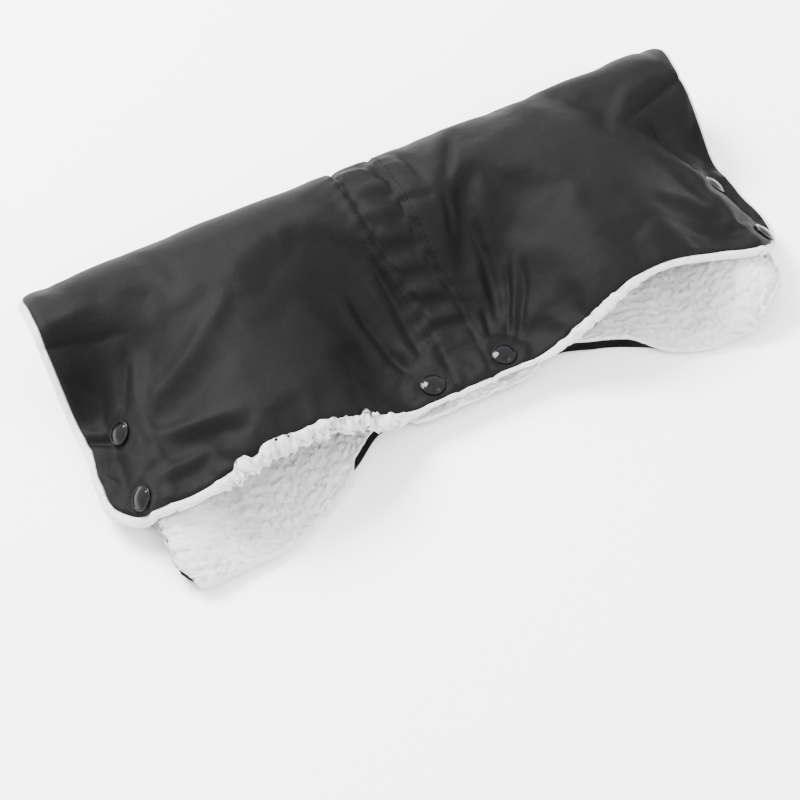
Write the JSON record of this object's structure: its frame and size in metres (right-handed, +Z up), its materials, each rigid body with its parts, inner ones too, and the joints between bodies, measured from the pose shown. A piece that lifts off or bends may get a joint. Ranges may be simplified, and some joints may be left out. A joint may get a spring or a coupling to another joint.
{
  "type": "hand warmer muff",
  "caption": "Padded hand warmer muff with a black shell and white pile lining, folded over a handlebar and closed by press snaps.",
  "frame": {"origin": "on the flat underside, at the middle of the length, 82 mm behind the lining's front edge between the centre snaps", "axes": "+X along the muff, towards its right end as seen from the hand openings; -Y towards the hand openings; +Z up"},
  "size_m": [0.452, 0.209, 0.0637],
  "materials": {
    "black_shell": "black woven polyester with a soft sheen",
    "white_pile": "white curly pile",
    "wadding": "white polyester wadding",
    "elastic_web": "white woven elastic",
    "black_enamel": "glossy black enamel on pressed brass",
    "nickel": "nickel-plated pressed brass"
  },
  "bodies": {
    "lower_half": {"lower_shell_left": "black_shell", "lower_shell_centre": "black_shell", "lower_shell_right": "black_shell", "lower_padding": "wadding", "lower_lining_left_end": "white_pile", "lower_lining_left": "white_pile", "lower_lining_centre": "white_pile", "lower_lining_right": "white_pile", "lower_lining_right_end": "white_pile", "snap_stud_centre_left": "nickel", "snap_post_centre_left": "black_enamel", "snap_stud_left_end_back": "nickel", "snap_post_left_end_back": "black_enamel", "snap_stud_left_end_front": "nickel", "snap_post_left_end_front": "black_enamel", "snap_stud_centre_right": "nickel", "snap_post_centre_right": "black_enamel", "snap_stud_right_end_back": "nickel", "snap_post_right_end_back": "black_enamel", "snap_stud_right_end_front": "nickel", "snap_post_right_end_front": "black_enamel"},
    "fold_spine": {"spine_shell_left": "black_shell", "spine_shell_centre": "black_shell", "spine_shell_right": "black_shell", "spine_padding": "wadding", "spine_lining": "white_pile"},
    "upper_half": {"upper_shell_left": "black_shell", "upper_shell_centre": "black_shell", "upper_shell_right": "black_shell", "upper_padding": "wadding", "upper_lining_left_end": "white_pile", "upper_lining_left": "white_pile", "upper_lining_centre": "white_pile", "upper_lining_right": "white_pile", "upper_lining_right_end": "white_pile", "centre_elastic": "elastic_web", "snap_cap_centre_left": "black_enamel", "snap_socket_centre_left": "nickel", "snap_spring_centre_left": "nickel", "snap_cap_left_end_back": "black_enamel", "snap_socket_left_end_back": "nickel", "snap_spring_left_end_back": "nickel", "snap_cap_left_end_front": "black_enamel", "snap_socket_left_end_front": "nickel", "snap_spring_left_end_front": "nickel", "snap_cap_centre_right": "black_enamel", "snap_socket_centre_right": "nickel", "snap_spring_centre_right": "nickel", "snap_cap_right_end_back": "black_enamel", "snap_socket_right_end_back": "nickel", "snap_spring_right_end_back": "nickel", "snap_cap_right_end_front": "black_enamel", "snap_socket_right_end_front": "nickel", "snap_spring_right_end_front": "nickel"}
  },
  "joints": [
    {"name": "fold_lower", "type": "hinge", "parent": "lower_half", "child": "fold_spine", "pos_m": [0, 0.07927, 0.00873], "axis": [-1, 0, 0], "range_deg": [0, 88]},
    {"name": "fold_upper", "type": "hinge", "parent": "fold_spine", "child": "upper_half", "pos_m": [0, 0.07927, 0.05327], "axis": [-1, 0, 0], "range_deg": [0, 88]}
  ],
  "couplings": [
    {"joint": "fold_lower", "follows": "fold_upper", "ratio": 1}
  ]
}
